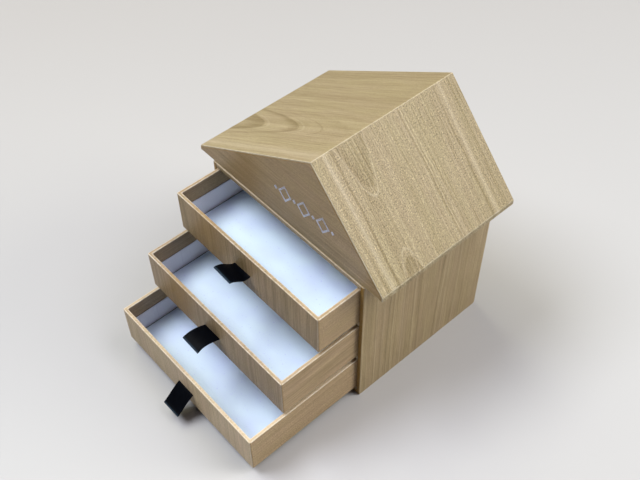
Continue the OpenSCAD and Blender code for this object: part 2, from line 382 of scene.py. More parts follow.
@dataclass(frozen=True)
class WoodPaper(Finish):
    """Paper printed with a pale wood grain and pressed with a fine texture of its own.

    Lengths are in metres on the flat sheet. The rest are strengths, with 1 for a strong effect.
    """

    pale: Colour = (0.415, 0.314, 0.168)
    rosy: Colour = (0.415, 0.305, 0.174)
    deep: Colour = (0.16, 0.109, 0.032)
    # The dark brown of real seams and of painted shade.
    seam_and_shade_brown: Colour = (0.28, 0.15, 0.018)
    # Folds go towards cream: wear and painted highlight.
    cream: Colour = (0.7, 0.63, 0.5)
    heart: float = 400 * MM
    lift: float = 50 * MM
    lean: float = 1.5
    taper: float = 0.06
    ring: float = 3.2 * MM
    sway: float = 5 * MM
    quiver: float = 1.2 * MM
    figure: float = 0.15
    threads: float = 0.5
    streaks: float = 0.5
    # The flecks' strength in the colour: printed flecks, and painted glints where it is high.
    fleck_and_glint: float = 0.4
    # Painted shade: the sheet turns darker and browner round one place along x, for the shade on
    # the left of the drawer fronts and the gable.
    painted_shade: float = 0.0
    painted_shade_place: float = -44 * MM
    painted_shade_reach: float = 30 * MM
    seed: float = 0.0
    lines: tuple[GrainLine, ...] = ()

    def _course(self, across: Signal) -> Signal:
        """Measures how far out a point lies from the heart, as the rings see it.

        Args:
            across: The distance from the heart, across the grain.

        Returns:
            The distance in metres, which is 0 on the heart line.
        """
        wide = abs(across) * ((1 + self.lean) / 2) + across * ((1 - self.lean) / 2)
        return (wide * wide + self.lift**2) ** 0.5 - self.lift

    def _lines(self, bench: Bench, u: Signal, v: Signal, course: Signal) -> Signal:
        """Adds up the lines that the eye picks out.

        Args:
            bench: The bench.
            u: The place along the grain.
            v: The place across the grain.
            course: The distance from the heart.

        Returns:
            How much they darken the sheet.
        """
        total = bench.maths("ADD", 0.0, 0.0)
        for line in self.lines:
            if line.course is Course.STRAIGHT:
                off = v - u * line.drift - line.place
            else:
                off = course + (u - line.place) * (self.taper * line.course.value)
            outside = 1.0 - off.ramp(0.0, line.width)
            total = total + outside * off.ramp(-(line.depth or line.width), 0.0) * line.strength
        return total

    def _mark(self, bench: Bench, kind: Grain, u: Signal, v: Signal) -> Signal:
        """Reads one of the print's marks.

        Args:
            bench: The bench.
            kind: The mark.
            u: The place along the grain.
            v: The place across the grain.

        Returns:
            The mark's share if it is cut between levels, or else its noise about 0.
        """
        along, across, slice_, *levels = kind.value
        noise = bench.blots(u, v, along * MM, across * MM, self.seed + slice_)
        return noise.ramp(*levels) if levels else noise - 0.5

    def lay(self, bench: Bench) -> bpy.types.Material:
        """Lays rings, threads, fibres, pores and flecks, from broad to fine, with painted glints,
        painted shade and folds made pale by wear and painted highlight.

        Args:
            bench: The bench.

        Returns:
            The material.
        """

        def grain(kind: Grain) -> Signal:
            """Reads one of the marks, along the bent grain."""
            return self._mark(bench, kind, u, bent)

        u, v = bench.sheet()
        sway = self._mark(bench, Grain.SWAY, u, v)
        quiver = self._mark(bench, Grain.QUIVER, u, v)
        bent = v + sway * self.sway + quiver * self.quiver
        course = self._course(bent - self.heart)

        turn = (course + u * self.taper) / self.ring + grain(Grain.JITTER) * 0.6
        age = turn.fract()
        late = age.ramp(0.3, 0.9) * (1.0 - age.ramp(0.92, 1.0))
        count = {"W": turn.floor() + self.seed}
        year = bench.node("ShaderNodeTexWhiteNoise", {"noise_dimensions": "1D"}, count)
        late = late * (0.2 + year * 0.8)

        broad = grain(Grain.BROAD)
        thread = grain(Grain.THREAD)
        streak = grain(Grain.STREAK)
        fibre = grain(Grain.FIBRE)
        pore = grain(Grain.PORE)
        fleck_and_glint = grain(Grain.FLECK)
        glint = grain(Grain.GLINT)
        blush = grain(Grain.BLUSH)
        chip = grain(Grain.CHIP)
        stripe = grain(Grain.STRIPE)
        bend = bench.mark(BEND_MARK)

        lines = self._lines(bench, u, bent, course)
        shade = (
            0.16
            - broad * (0.8 * self.streaks)
            - thread * (1.5 * self.threads)
            + streak * (0.3 * self.streaks)
            + late * (0.6 * self.figure)
            + stripe * (0.3 * self.threads)
            + pore * 0.16
            + lines
            - bend * (0.3 + chip * 0.5)
        )
        wood = bench.mix(shade, bench.mix(blush, self.pale, self.rosy), self.deep)
        # Flecks and glints lighten the colour: printed flecks, and painted glints, strongest on the
        # right slope.
        light = 1.0 + fibre * 0.35 + fleck_and_glint * (2.0 * self.fleck_and_glint) + glint * (0.3 * self.fleck_and_glint)
        # Folds turn pale towards cream, partly wear and partly painted highlight; light print lines
        # turn pale too.
        pale = bend * (0.3 + chip * 0.55) - lines * 0.7
        wood = bench.mix(pale, bench.tone(wood, light), self.cream)
        # Painted shade: darker and browner round one place along x.
        x, _, _ = bench.axes(bench.place())
        painted_shade = (1.0 - abs(x - self.painted_shade_place).ramp(0.0, self.painted_shade_reach)) * self.painted_shade
        # The seam mark goes towards the same dark brown: real seams and cut edges, and painted
        # shade at the casing's front edges and inside the trays.
        seam = bench.mark(SEAM_AND_SHADE_MARK) * (0.65 + chip * 0.35)
        colour = bench.mix(painted_shade + seam, wood, self.seam_and_shade_brown)

        press = fleck_and_glint + fibre * 0.6 + glint * 0.3 - pore * 0.4
        return bench.finish(
            Base_Color=colour,
            Roughness=0.5 - fleck_and_glint * 0.5 + pore * 0.15,
            Specular_IOR_Level=0.4,
            Normal=bench.bump(press, 0.1 * MM, 0.6),
        )


@dataclass(frozen=True)
class WhiteSheet(Finish):
    """Smooth white paper or card, with the faint smudges and specks of handling."""

    white: Colour = (0.72, 0.87, 1.0)
    worn: Colour = (0.57, 0.65, 0.98)
    seed: float = 0.0

    def lay(self, bench: Bench) -> bpy.types.Material:
        """Lays the sheet's cloud, its smudges, its specks and its tooth.

        Args:
            bench: The bench.

        Returns:
            The material.
        """
        x, y, _ = bench.axes(bench.place())
        cloud = bench.blots(x, y, 45 * MM, 38 * MM, self.seed).ramp(0.35, 0.75)
        smudge = bench.blots(x, y, 9 * MM, 6 * MM, self.seed + 5.0).ramp(0.66, 0.8)
        speck = bench.blots(x, y, 1.7 * MM, 1.4 * MM, self.seed + 9.0, 0.0).ramp(0.76, 0.8)
        tooth = bench.noise(bench.place(), 0.35 * MM, 3.0)
        colour = bench.mix(cloud * 0.5 + smudge * 0.3 + speck * 0.55, self.white, self.worn)
        # The seam mark darkens the sheet: painted shade at the card's edge.
        return bench.finish(
            Base_Color=bench.tone(colour, 1.0 - bench.mark(SEAM_AND_SHADE_MARK) * 0.8),
            Roughness=0.48 + tooth * 0.16,
            Specular_IOR_Level=0.4,
            Normal=bench.bump(tooth, 0.02 * MM, 0.4),
        )


@dataclass(frozen=True)
class SatinRibbon(Finish):
    """Black satin ribbon: fine ribs across it, threads along it and a firm edge."""

    black: Colour = (0.0008, 0.001, 0.0018)
    worn: Colour = (0.003, 0.0045, 0.008)
    # Painted highlight: the colour that the fold is lightened towards.
    painted_fold_shine: Colour = (0.03, 0.05, 0.072)
    width: float = 18 * MM

    def lay(self, bench: Bench) -> bpy.types.Material:
        """Lays the ribs, the threads, the firm edge, the satin's sheen and a painted highlight
        along the fold.

        Args:
            bench: The bench.

        Returns:
            The material.
        """
        u, v = bench.sheet()
        rib = abs((u / (0.42 * MM)).fract() - 0.5) * 2.0
        thread = bench.blots(u, v, 4 * MM, 0.16 * MM, 2.0)
        slub = bench.blots(u, v, 7 * MM, 5 * MM, 4.0).ramp(0.35, 0.75)
        firm = abs(v).ramp(self.width * 0.44, self.width * 0.47)
        colour = bench.mix(slub * 0.3 + thread * 0.25 + firm * 0.4, self.black, self.worn)
        # Painted highlight along the fold.
        fold_shine_share = 1.0 - abs(u).ramp(0.4 * MM, 1.7 * MM)
        relief = rib * 0.5 + thread * 0.4 + firm * 0.6
        return bench.finish(
            Base_Color=bench.mix(fold_shine_share * (0.5 + slub * 0.5), colour, self.painted_fold_shine),
            Roughness=0.4 + thread * 0.14 + firm * 0.15,
            Specular_IOR_Level=0.035,
            Sheen_Weight=0.01,
            Sheen_Roughness=0.3,
            Sheen_Tint=(0.4, 0.6, 1.0, 1.0),
            Normal=bench.bump(relief, 0.06 * MM, 0.5),
        )


@dataclass(frozen=True)
class GreyBoard(Finish):
    """Pressed grey board: mixed fibres with darker and lighter bits."""

    light: Colour = (0.3278, 0.3005, 0.2542)
    dark: Colour = (0.159, 0.1441, 0.1195)

    def lay(self, bench: Bench) -> bpy.types.Material:
        """Lays the board's cloud, its fibres and its bits.

        Args:
            bench: The bench.

        Returns:
            The material.
        """
        place = bench.place()
        cloud = bench.noise(place, 8 * MM, 3.0).ramp(0.3, 0.7)
        x, y, z = bench.axes(place)
        fibre = bench.blots(x + z, y, 2.5 * MM, 0.3 * MM, 1.0)
        bit = bench.noise(place, 0.9 * MM, 1.0).ramp(0.64, 0.7)
        colour = bench.mix(cloud * 0.4 + fibre * 0.3 + bit * 0.5, self.light, self.dark)
        relief = bench.bump(fibre, 0.1 * MM, 0.6)
        return bench.finish(Base_Color=colour, Roughness=0.85, Normal=relief)


@dataclass(frozen=True)
class SilverFoil(Finish):
    """Silver foil pressed on paper, so it takes some of the paper's texture."""

    silver: Colour = (0.86, 0.82, 0.88)
    rubbed: Colour = (0.46, 0.44, 0.52)

    def lay(self, bench: Bench) -> bpy.types.Material:
        """Lays the foil's shine and the places where it is rubbed thin.

        Args:
            bench: The bench.

        Returns:
            The material.
        """
        place = bench.place()
        rub = bench.noise(place, 2.2 * MM, 3.0).ramp(0.45, 0.7)
        grain = bench.noise(place, 0.5 * MM, 2.0)
        return bench.finish(
            Base_Color=bench.mix(rub, self.silver, self.rubbed),
            Metallic=1.0 - rub * 0.35,
            Roughness=0.22 + rub * 0.3,
            Normal=bench.bump(grain, 0.05 * MM, 0.5),
        )


@dataclass(frozen=True)
class TableTop(Finish):
    """A smooth pale table."""

    pale: Colour = (0.482, 0.48, 0.47)
    # Painted shade: the table's tone towards the far left.
    painted_far_shade: Colour = (0.42, 0.404, 0.383)

    def lay(self, bench: Bench) -> bpy.types.Material:
        """Lays a faint cloud, and painted shade that makes the table duller towards the far left.

        Args:
            bench: The bench.

        Returns:
            The material.
        """
        place = bench.place()
        x, y, _ = bench.axes(place)
        cloud = bench.noise(place, 0.22, 2.0)
        # Painted shade: the table grows duller towards the far left.
        far_shade_share = (y * 0.45 - x * 0.9).ramp(-0.15, 0.75)
        colour = bench.mix(far_shade_share + cloud * 0.1, self.pale, self.painted_far_shade)
        return bench.finish(Base_Color=colour, Roughness=0.6)


# ---- Shaping ----


def new_mesh() -> Mesh:
    """Starts an empty mesh with the maps and marks that the finishes read.

    Returns:
        The mesh.
    """
    mesh = bmesh.new()
    layers = mesh.loops.layers
    layers.uv.new(SHEET_MAP)
    for name in (SEAM_AND_SHADE_MARK, BEND_MARK):
        layers.float.new(name)
    return mesh


def near(first: float, second: float) -> bool:
    """Tells whether two lengths are the same to a hundredth of a millimetre."""
    return abs(first - second) < 0.01 * MM


@dataclass(frozen=True)
class Room:
    """The space that something fills, by its lowest and highest corners."""

    low: Vector
    high: Vector

    @classmethod
    def of(cls, node: str) -> "Room":
        """Takes the room of one of the frame's nodes."""
        low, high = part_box(node)
        return cls(Vector(low), Vector(high))

    def within(self, step: float) -> "Room":
        """Takes the room that stands back from this one on all four sides."""
        back = Vector((step, step, 0.0))
        return Room(self.low + back, self.high - back)

    def holds(self, place: Vector) -> bool:
        """Tells whether a place lies within this room's plan."""
        return self.low.x < place.x < self.high.x and self.low.y < place.y < self.high.y

    def corner(self, place: Vector) -> bool:
        """Tells whether a place lies on one of this room's four upright corners."""
        at_x = near(place.x, self.low.x) or near(place.x, self.high.x)
        return at_x and (near(place.y, self.low.y) or near(place.y, self.high.y))

    def block(self) -> Mesh:
        """Starts a mesh with a block that fills this room.

        Returns:
            The mesh.
        """
        mesh = new_mesh()
        place = Matrix.Translation((self.low + self.high) / 2)
        scale = Matrix.Diagonal((*(self.high - self.low), 1.0))
        bmesh.ops.create_cube(mesh, size=1.0, matrix=place @ scale)
        return mesh

    def plan(self, level: float) -> Mesh:
        """Starts a mesh with this room's plan as one flat face.

        Args:
            level: The height of the face.

        Returns:
            The mesh.
        """
        mesh = new_mesh()
        size = self.high - self.low
        middle = (self.low + self.high) / 2
        place = Matrix.Translation((middle.x, middle.y, level))
        scale = Matrix.Diagonal((size.x, size.y, 1.0, 1.0))
        bmesh.ops.create_grid(mesh, x_segments=1, y_segments=1, size=0.5, matrix=place @ scale)
        return mesh


def facing(mesh: Mesh, way: Vector, share: float = 0.98) -> list[Face]:
    """Picks the faces that look one way.

    Args:
        mesh: The mesh.
        way: The direction.
        share: How closely a face must look that way, as a cosine.

    Returns:
        The faces.
    """
    mesh.normal_update()
    return [face for face in mesh.faces if face.normal.dot(way) > share]


def flush(mesh: Mesh, way: Vector, at: Vector) -> list[Face]:
    """Picks the faces that look one way and lie level with a point.

    Args:
        mesh: The mesh.
        way: The direction.
        at: The point.

    Returns:
        The faces.
    """
    return [f for f in facing(mesh, way) if near((f.calc_center_median() - at).dot(way), 0.0)]


def creases(mesh: Mesh, wanted: Callable[[Vector], bool]) -> list[Edge]:
    """Picks the edges where two faces meet at an angle and both ends pass a test.

    Args:
        mesh: The mesh.
        wanted: The test of an end's place.

    Returns:
        The edges.
    """
    mesh.normal_update()
    return [
        edge
        for edge in mesh.edges
        if len(edge.link_faces) == 2
        and edge.calc_face_angle(0.0) > SHARP
        and all(wanted(vert.co) for vert in edge.verts)
    ]


def upright(edges: Iterable[Edge]) -> list[Edge]:
    """Picks the edges whose ends lie at different heights."""
    return [e for e in edges if abs(e.verts[0].co.z - e.verts[1].co.z) > MM]


def mark(mesh: Mesh, faces: Iterable[Face], name: str, share: float = 1.0) -> None:
    """Marks faces for the finishes.

    Args:
        mesh: The mesh.
        faces: The faces.
        name: The mark.
        share: How strong it is.
    """
    layer = mesh.loops.layers.float[name]
    for face in faces:
        for loop in face.loops:
            loop[layer] = share


def fold(
    mesh: Mesh,
    edges: Sequence[Edge],
    radius: float,
    segments: int = 3,
    name: str = BEND_MARK,
    share: float = 0.5,
) -> None:
    """Rounds edges as paper bends round them, and marks the bends.

    Args:
        mesh: The mesh.
        edges: The edges to round.
        radius: How wide the bend is.
        segments: How many faces it gets.
        name: What the bend is marked as.
        share: How strong the mark is.
    """
    made = bmesh.ops.bevel(
        mesh,
        geom=list(edges),
        offset=radius,
        offset_type="OFFSET",
        segments=segments,
        profile=0.5,
        affect="EDGES",
        clamp_overlap=False,
        material=-1,
    )
    mark(mesh, made["faces"], name, share)


def score(mesh: Mesh, faces: Sequence[Face], at: Vector, way: Vector) -> None:
    """Cuts faces in two along a plane, and keeps both sides.

    Args:
        mesh: The mesh.
        faces: The faces.
        at: A point of the plane.
        way: The plane's normal.
    """
    parts = dict.fromkeys(faces)
    parts |= dict.fromkeys(e for f in faces for e in f.edges)
    parts |= dict.fromkeys(v for f in faces for v in f.verts)
    bmesh.ops.bisect_plane(mesh, geom=list(parts), dist=1e-6, plane_co=at, plane_no=way)


def pull_out(mesh: Mesh, faces: Sequence[Face], by: Vector) -> None:
    """Extrudes faces.

    Args:
        mesh: The mesh.
        faces: The faces, which move.
        by: How far, and which way.
    """
    parts = dict.fromkeys(faces) | dict.fromkeys(edge for face in faces for edge in face.edges)
    made = bmesh.ops.extrude_face_region(mesh, geom=list(parts))["geom"]
    moved = [v for v in made if isinstance(v, bmesh.types.BMVert)]
    bmesh.ops.translate(mesh, verts=moved, vec=by)


def drop(mesh: Mesh, faces: Sequence[Face]) -> None:
    """Takes faces away, with the edges and corners that only they had."""
    bmesh.ops.delete(mesh, geom=list(faces), context="FACES")


def tidy(mesh: Mesh) -> None:
    """Joins what lies flat and turns every face outwards."""
    bmesh.ops.dissolve_limit(mesh, angle_limit=LEVEL, verts=mesh.verts[:], edges=mesh.edges[:])
    bmesh.ops.recalc_face_normals(mesh, faces=mesh.faces[:])


def lay_sheet(mesh: Mesh, chart: Chart) -> None:
    """Writes where every corner lies on the flat sheet.

    Args:
        mesh: The mesh.
        chart: Gives a corner's place on the sheet, from its face's middle and normal and from
            its own place.
    """
    mesh.normal_update()
    layer = mesh.loops.layers.uv[SHEET_MAP]
    for face in mesh.faces:
        middle = face.calc_center_median()
        for loop in face.loops:
            loop[layer].uv = chart(middle, face.normal, loop.vert.co)


@dataclass(frozen=True)
class Piece:
    """What a finished mesh is called, what it moves with and what it stands for."""

    name: str
    body: str
    slot: str
    replaces: tuple[str, ...] = ()

    def made_of(
        self,
        mesh: Mesh,
        *finishes: Finish,
        thick: float = 0.0,
        offset: float = -1.0,
        even: bool = False,
    ) -> bpy.types.Object:
        """Makes the piece from its mesh.

        Args:
            mesh: The mesh, which is used up.
            finishes: Its finishes, in the order of its faces' material numbers.
            thick: The thickness of a sheet. A closed mesh has none.
            offset: Which side of the mesh the thickness lies on, from -1, inside, to 1.
            even: Whether the thickness is kept at bends, which sharp slivers don't allow.

        Returns:
            The object.
        """
        data = bpy.data.meshes.new(self.name)
        mesh.to_mesh(data)
        mesh.free()
        data.shade_smooth()
        for finish in finishes:
            data.materials.append(finish.material())
        piece = bpy.data.objects.new(self.name, data)
        bpy.context.scene.collection.objects.link(piece)
        if thick:
            solid = piece.modifiers.new("thickness", "SOLIDIFY")
            solid.thickness, solid.offset = thick, offset
            solid.use_even_offset = even
        weigh = piece.modifiers.new("flat faces", "WEIGHTED_NORMAL")
        weigh.weight = FLAT_WEIGHT
        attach(piece, self.body)
        if self.replaces:
            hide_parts(*self.replaces)
        LOG.info("%s: %d faces, on %s", self.name, len(data.polygons), self.body)
        return piece


def dress(nodes: Iterable[str], finish: Finish) -> None:
    """Gives the frame's own solids a finish.

    Args:
        nodes: The solids' names.
        finish: Their finish.
    """
    for node in nodes:
        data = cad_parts[node].data
        for i in range(max(1, len(data.materials))):
            if i < len(data.materials):
                data.materials[i] = finish.material()
            else:
                data.materials.append(finish.material())
        LOG.info("%s keeps its shape, in %s", node, finish.name)


# ---- The casing ----

UP = Vector((0.0, 0.0, 1.0))
ALONG = Vector((0.0, 1.0, 0.0))
ASIDE = Vector((1.0, 0.0, 0.0))

SIDE_LINES = (
    *fine_lines(-55, -48, -40.5, -36.5, -31.6, -19.5, -14, 46.5, strength=0.24),
    *fine_lines(-67, -53.5, -46, -39, -34.5, -24.5, -12.3, 24, 38.5, strength=-0.13),
    GrainLine(-5 * MM, 2.0 * MM, 0.24, -0.02, depth=2.5 * MM),
    GrainLine(14.5 * MM, 0.8 * MM, 0.34, 0.03, depth=2.5 * MM),
    GrainLine(17.5 * MM, 1.0 * MM, -0.14, 0.03),
    GrainLine(36 * MM, 0.8 * MM, 0.24, depth=2.0 * MM),
)


@dataclass
class Casing:
    """The open-fronted box, its shelves and the sheets that wrap them."""

    corner: float = 0.8 * MM
    mouth: float = 0.6 * MM
    foot: float = 0.4 * MM
    shelf_nose: float = 0.7 * MM
    shelf_roll: float = 1.7
    base_tuck: float = 0.5 * MM
    base_edge: float = 0.08 * MM
    # Painted shade on the casing's front edges and corners.
    edge_shade: float = 0.95
    inside_shift: float = 0.4
    back_shift: float = 0.2
    wall: WoodPaper = WoodPaper("wall paper", seed=1.0, threads=0.75, lines=SIDE_LINES)
    shelf: WoodPaper = WoodPaper("shelf paper", seed=23.0)

    def build(self) -> None:
        """Makes the casing's sheets."""
        self.wrap()
        for part in ("casing_floor", "lower_shelf", "upper_shelf", "casing_top"):
            self.shelf_sheet(f"{part}_paper")
        self.base_sheet()

    def wrap(self) -> None:
        """Folds the sheet round the walls, inside and out, and under the plate's edge."""
        outer, bay = Room.of("casing_wrap"), Room.of("casing_floor_paper")
        mesh = outer.plan(outer.low.z)
        for at, way in ((bay.low, ASIDE), (bay.high, ASIDE), (bay.high, ALONG)):
            score(mesh, mesh.faces[:], at, way)
        pull_out(mesh, mesh.faces[:], UP * (bay.low.z - outer.low.z))
        bmesh.ops.recalc_face_normals(mesh, faces=mesh.faces[:])
        walls = [f for f in facing(mesh, UP) if not bay.holds(f.calc_center_median())]
        pull_out(mesh, walls, UP * (outer.high.z - bay.low.z))
        tidy(mesh)

        def at_mouth(p: Vector) -> bool:
            """Tells whether a place lies on an inner corner of the front."""
            return near(abs(p.x), bay.high.x) and near(p.y, outer.low.y)

        fold(mesh, creases(mesh, lambda p: outer.corner(p) and p.y > 0.0), self.corner)
        # Painted shade: the inner and outer corners of the front get the dark seam mark, for the
        # shade in the gaps beside the drawers.
        for wanted in (at_mouth, outer.corner):
            fold(mesh, creases(mesh, wanted), self.mouth, name=SEAM_AND_SHADE_MARK, share=self.edge_shade)
        for level in (outer.high.z, outer.low.z):
            fold(mesh, creases(mesh, lambda p: near(p.z, level)), self.foot)
        # Painted shade: the walls' front edges go dark brown.
        mark(mesh, flush(mesh, -ALONG, outer.low), SEAM_AND_SHADE_MARK, self.edge_shade)
        floor = [f for f in flush(mesh, UP, bay.low) if bay.holds(f.calc_center_median())]
        drop(mesh, floor + facing(mesh, -UP))
        lay_sheet(mesh, self.wall_chart)
        piece = Piece("casing_wrap_sheet", "casing", "wood_paper", ("casing_wrap",))
        piece.made_of(mesh, self.wall, thick=PAPER)

    def wall_chart(self, middle: Vector, normal: Vector, point: Vector) -> tuple[float, float]:
        """Lays the grain upright on every wall, from another part of the sheet on each.

        Args:
            middle: A face's middle.
            normal: Its normal.
            point: One of its corners.

        Returns:
            The corner's place on the sheet.
        """
        if abs(normal.z) > MOSTLY:
            return point.y, point.x
        inward = normal.dot(Vector((middle.x, middle.y, 0.0))) < 0.0
        across = point.y if abs(normal.x) > abs(normal.y) else self.back_shift - point.x
        return point.z, across + (self.inside_shift if inward else 0.0)

    def shelf_sheet(self, node: str) -> None:
        """Folds a sheet round a shelf's front edge, from back to back.

        Args:
            node: The shelf's paper in the frame.
        """
        room = Room.of(node)
        mesh = room.block()
        fold(mesh, creases(mesh, lambda p: near(p.y, room.low.y)), self.shelf_nose)
        drop(mesh, facing(mesh, ALONG) + facing(mesh, ASIDE) + facing(mesh, -ASIDE))
        lay_sheet(mesh, lambda middle, normal, at: (at.x, at.y + at.z * self.shelf_roll))
        piece = Piece(f"{node}_sheet", "casing", "wood_paper", (node,))
        piece.made_of(mesh, self.shelf, thick=PAPER)

    def base_sheet(self) -> None:
        """Lays the sheet under the plate, which hides the turned-in edges of the wrap."""
        mesh = Room.of("base_paper").within(self.base_tuck).block()
        fold(mesh, creases(mesh, lambda p: True), self.base_edge, 1)
        lay_sheet(mesh, lambda middle, normal, at: (at.y, at.x))
        piece = Piece("base_sheet", "casing", "wood_paper", ("base_paper",))
        piece.made_of(mesh, self.shelf)


# ---- The roof ----

LEFT_LINES = (
    GrainLine(-68.5 * MM, 0.12 * MM, 0.34, course=Course.ARCHED, depth=1.1 * MM),
    GrainLine(-61 * MM, 0.12 * MM, -0.14, course=Course.ARCHED),
    GrainLine(-116 * MM, 0.1 * MM, 0.36, course=Course.ARCHED, depth=3.4 * MM),
    GrainLine(-109 * MM, 0.14 * MM, -0.12, course=Course.ARCHED),
    GrainLine(-38 * MM, 0.1 * MM, 0.24, course=Course.ARCHED, depth=0.2 * MM),
    GrainLine(-60 * MM, 6.5 * MM, -0.12, depth=6.5 * MM),
    GrainLine(69 * MM, 40 * MM, 0.14, depth=120 * MM),
    *fine_lines(-43.5, -23.0, 20.9, 59, strength=0.22),
    *fine_lines(41, 51, width=1.4, strength=-0.12),
)
RIGHT_LINES = (
    GrainLine(36 * MM, 0.06 * MM, 0.22, course=Course.ARCHED, depth=3.0 * MM),
    GrainLine(70 * MM, 40 * MM, 0.12, depth=115 * MM),
    GrainLine(43 * MM, 0.12 * MM, -0.2, course=Course.ARCHED),
    GrainLine(91.5 * MM, 0.06 * MM, 0.3, course=Course.TURNED, depth=2.0 * MM),
    GrainLine(85 * MM, 0.12 * MM, -0.16, course=Course.TURNED),
    GrainLine(-56.5 * MM, 3.0 * MM, -0.26, depth=3.0 * MM),
    GrainLine(-50.8 * MM, 1.6 * MM, 0.3, depth=1.6 * MM),
    GrainLine(51 * MM, 4.0 * MM, -0.24, depth=4.0 * MM),
    GrainLine(60.5 * MM, 3.0 * MM, 0.18, depth=3.0 * MM),
    *fine_lines(-25, -15, 46.3, strength=0.2),
    *fine_lines(4.2, 9.9, 13.5, 16.4, strength=-0.13),
)


@dataclass
class Roof:
    """The hollow roof: one sheet over both slopes, and a cover sheet on each gable."""

    ridge_fold: float = 0.45 * MM
    left_eave_fold: float = 1.1 * MM
    right_eave_fold: float = 0.6 * MM
    foot_fold: float = 0.4 * MM
    gable_fold: float = 0.45 * MM
    cover_edge: float = 0.3 * MM
    under_tuck: float = 0.8 * MM
    # The folds round the gables and the gable margins are made pale: partly wear, partly painted
    # highlight.
    fold_wear_and_highlight: float = 0.7
    gable_wear_and_highlight: float = 0.4
    cut_shade: float = 0.6
    gable_shift: float = 0.3
    left: WoodPaper = WoodPaper(
        "left slope paper", pale=(0.416, 0.337, 0.183), rosy=(0.416, 0.329, 0.189),
        heart=-30 * MM, lift=60 * MM, figure=0.25, threads=0.6, streaks=0.35, seed=31.0,
        lines=LEFT_LINES,
    )
    # Painted glints: the right slope's strong flecks stand for the glints of its pressed texture.
    right: WoodPaper = WoodPaper(
        "right slope paper", pale=(0.412, 0.34, 0.198), rosy=(0.412, 0.332, 0.205),
        heart=-35.5 * MM, lift=33 * MM, lean=1.0, figure=0.1, threads=0.7, streaks=0.35,
        fleck_and_glint=1.55, seed=43.0, lines=RIGHT_LINES,
    )
    # Painted shade: the gable paper is toned browner than the slopes' for the shade on the gable,
    # and darkened on its left.
    gable: WoodPaper = WoodPaper(
        "gable paper", pale=(0.417, 0.298, 0.153), rosy=(0.417, 0.29, 0.16), painted_shade=0.33,
        seed=57.0, threads=0.85, fleck_and_glint=0.7,
    )

    def __post_init__(self) -> None:
        """Reads the roof's outline from its solid."""
        self.room = Room.of("roof_wrap")
        corners = [vert.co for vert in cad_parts["roof_wrap"].data.vertices]
        ridge = max(corners, key=lambda p: p.z)
        eave = max(p.z for p in corners if near(p.x, self.room.high.x))
        low, high = self.room.low, self.room.high
        self.outline = [
            (low.x, low.z), (high.x, low.z), (high.x, eave), (ridge.x, ridge.z), (low.x, eave),
        ]
        self.ridge = Vector((ridge.x, 0.0, ridge.z))

    def build(self) -> None:
        """Makes the roof's sheets."""
        self.wrap()
        self.cover("front_gable_paper", -ALONG)
        self.cover("rear_gable_paper", ALONG)
        self.underside()

    def gable_face(self, y: float) -> Mesh:
        """Starts a mesh with the roof's outline as one face.

        Args:
            y: Where the face stands.

        Returns:
            The mesh.
        """
        mesh = new_mesh()
        corners = [mesh.verts.new((x, y, z)) for x, z in self.outline]
        bmesh.ops.contextual_create(mesh, geom=corners)
        return mesh

    def wrap(self) -> None:
        """Folds the sheet over the ridge, round the blunt eaves and onto the gables."""
        low, high, ridge, eave = self.room.low, self.room.high, self.ridge, self.outline[2][1]
        mesh = self.gable_face(low.y)
        pull_out(mesh, mesh.faces[:], ALONG * (high.y - low.y))
        bmesh.ops.recalc_face_normals(mesh, faces=mesh.faces[:])
        for wanted, radius, segments in (
            (lambda p: near(p.x, ridge.x) and near(p.z, ridge.z), self.ridge_fold, 4),
            (lambda p: near(p.z, eave) and p.x < 0.0, self.left_eave_fold, 4),
            (lambda p: near(p.z, eave) and p.x > 0.0, self.right_eave_fold, 3),
        ):
            fold(mesh, creases(mesh, wanted), radius, segments)
        for y in (low.y, high.y):
            around = creases(mesh, lambda p: near(p.y, y))
            foot = [edge for edge in around if all(near(vert.co.z, low.z) for vert in edge.verts)]
            rest = [edge for edge in around if edge not in foot]
            fold(mesh, rest, self.gable_fold, share=self.fold_wear_and_highlight)
        fold(mesh, creases(mesh, lambda p: near(p.z, low.z)), self.foot_fold)
        drop(mesh, facing(mesh, -UP))
        mark(mesh, facing(mesh, ALONG) + facing(mesh, -ALONG), BEND_MARK, self.gable_wear_and_highlight)
        for face in mesh.faces:
            right = face.calc_center_median().x > ridge.x and face.normal.x > 0.3
            face.material_index = int(right)
        lay_sheet(mesh, self.slope_chart)
        piece = Piece("roof_wrap_sheet", "casing", "wood_paper", ("roof_wrap",))
        piece.made_of(mesh, self.left, self.right, thick=PAPER)

    def slope_chart(self, middle: Vector, normal: Vector, point: Vector) -> tuple[float, float]:
        """Lays the grain down each slope, and level on the gables.

        Args:
            middle: A face's middle, which makes no difference here.
            normal: Its normal.
            point: One of its corners.

        Returns:
            The corner's place on the sheet.
        """
        if abs(normal.y) > MOSTLY:
            return point.x, point.z
        down = point - self.ridge
        along = (down.x**2 + down.z**2) ** 0.5
        return (along if normal.x > 0.0 else -along), point.y

    def cover(self, node: str, way: Vector) -> None:
        """Lays the cover sheet on a gable, with a dark line at its cut edge, partly the edge's own
        colour and partly painted shade.

        Args:
            node: The cover sheet in the frame.
            way: The way that the gable faces.
        """
        room = Room.of(node)
        mesh = self.gable_face(room.low.y)
        inset = partial(bmesh.ops.inset_region, mesh, use_even_offset=True)
        margin = room.low.x - self.room.low.x
        ring = inset(faces=mesh.faces[:], thickness=margin, use_boundary=True)
        drop(mesh, ring["faces"])
        pull_out(mesh, mesh.faces[:], ALONG * (room.high.y - room.low.y))
        bmesh.ops.recalc_face_normals(mesh, faces=mesh.faces[:])
        edge = inset(faces=facing(mesh, way), thickness=self.cover_edge)
